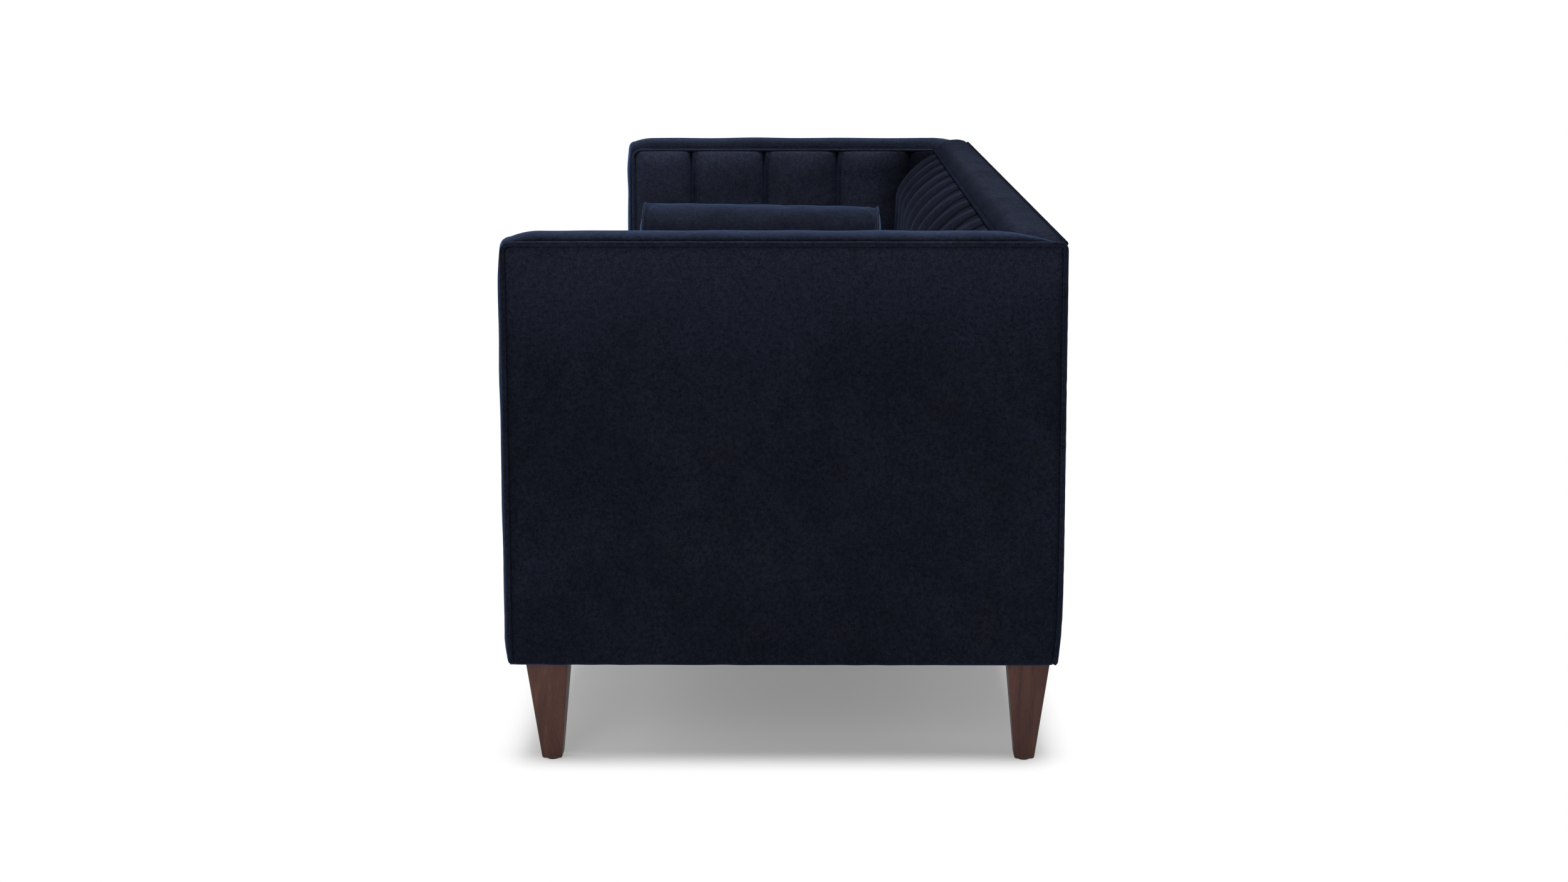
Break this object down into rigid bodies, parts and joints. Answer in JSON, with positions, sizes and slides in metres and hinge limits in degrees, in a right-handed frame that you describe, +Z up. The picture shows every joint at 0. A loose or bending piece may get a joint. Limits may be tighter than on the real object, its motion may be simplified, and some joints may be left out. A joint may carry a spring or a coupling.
{
  "type": "tuxedo sofa",
  "caption": "Upholstered tuxedo sofa with level arms and back, channelled inside padding, a bench seat cushion, loose bolsters and tapered wooden legs.",
  "frame": {"origin": "on the floor, under the middle of the sofa's width and depth", "axes": "+X across the sofa to the sitter's left hand, the front faces -Y, +Z up"},
  "size_m": [2.134, 0.838, 0.81],
  "materials": {
    "velvet": "navy velvet",
    "velvet_welt": "navy velvet welt",
    "velvet_cushion": "navy velvet, softer filled cushion",
    "deck_cloth": "plain woven deck cloth",
    "dust_cloth": "black dust cloth",
    "webbing": "woven elastic webbing",
    "foam": "open foam",
    "frame_wood": "sawn hardwood",
    "leg_wood": "dark satin walnut",
    "steel": "bright wire",
    "brass": "plain",
    "glide_nylon": "black nylon"
  },
  "bodies": {
    "frame": {"front_rail": "frame_wood", "rear_rail": "frame_wood", "side_rail_left": "frame_wood", "side_rail_right": "frame_wood", "seat_back_rail": "frame_wood", "seat_stretchers": "frame_wood", "corner_blocks": "frame_wood", "block_screws": "steel", "arm_front_post_left": "frame_wood", "arm_front_post_right": "frame_wood", "back_corner_post_left": "frame_wood", "back_corner_post_right": "frame_wood", "arm_top_rail_left": "frame_wood", "arm_top_rail_right": "frame_wood", "arm_tack_rail_left": "frame_wood", "arm_tack_rail_right": "frame_wood", "back_top_rail": "frame_wood", "back_posts": "frame_wood", "back_tack_rails": "frame_wood", "seat_springs": "steel", "spring_clips": "steel", "spring_tie_wires": "steel", "back_webbing": "webbing", "arm_webbing_left": "webbing", "arm_webbing_right": "webbing", "deck_pad": "deck_cloth", "back_pad": "velvet", "arm_pad_left": "velvet", "arm_pad_right": "velvet", "arm_band_left": "velvet", "arm_band_right": "velvet", "back_band": "velvet", "outside_arm_left": "velvet", "outside_arm_right": "velvet", "outside_back": "velvet", "front_border": "velvet", "dust_cover": "dust_cloth", "outer_welt_left": "velvet_welt", "outer_welt_right": "velvet_welt", "inner_welt_left": "velvet_welt", "inner_welt_right": "velvet_welt", "back_outer_welt": "velvet_welt", "back_inner_welt": "velvet_welt", "leg_front_left": "leg_wood", "leg_front_right": "leg_wood", "leg_rear_left": "leg_wood", "leg_rear_right": "leg_wood", "hanger_bolts": "steel", "leg_inserts": "brass", "glides": "glide_nylon"},
    "seat_cushion": {"seat_cushion_cover": "velvet_cushion", "seat_cushion_core": "foam", "seat_cushion_welts": "velvet_welt"},
    "bolster_left": {"bolster_cover_left": "velvet_cushion", "bolster_core_left": "foam", "bolster_welts_left": "velvet_welt"},
    "bolster_right": {"bolster_cover_right": "velvet_cushion", "bolster_core_right": "foam", "bolster_welts_right": "velvet_welt"}
  },
  "joints": [
    {"name": "seat_cushion_lift", "type": "slide", "parent": "frame", "child": "seat_cushion", "axis": [0, 0, 1], "range_m": [0, 0.5]},
    {"name": "bolster_left_lift", "type": "slide", "parent": "seat_cushion", "child": "bolster_left", "axis": [0, 0, 1], "range_m": [0, 0.4]},
    {"name": "bolster_right_lift", "type": "slide", "parent": "seat_cushion", "child": "bolster_right", "axis": [0, 0, 1], "range_m": [0, 0.4]}
  ]
}
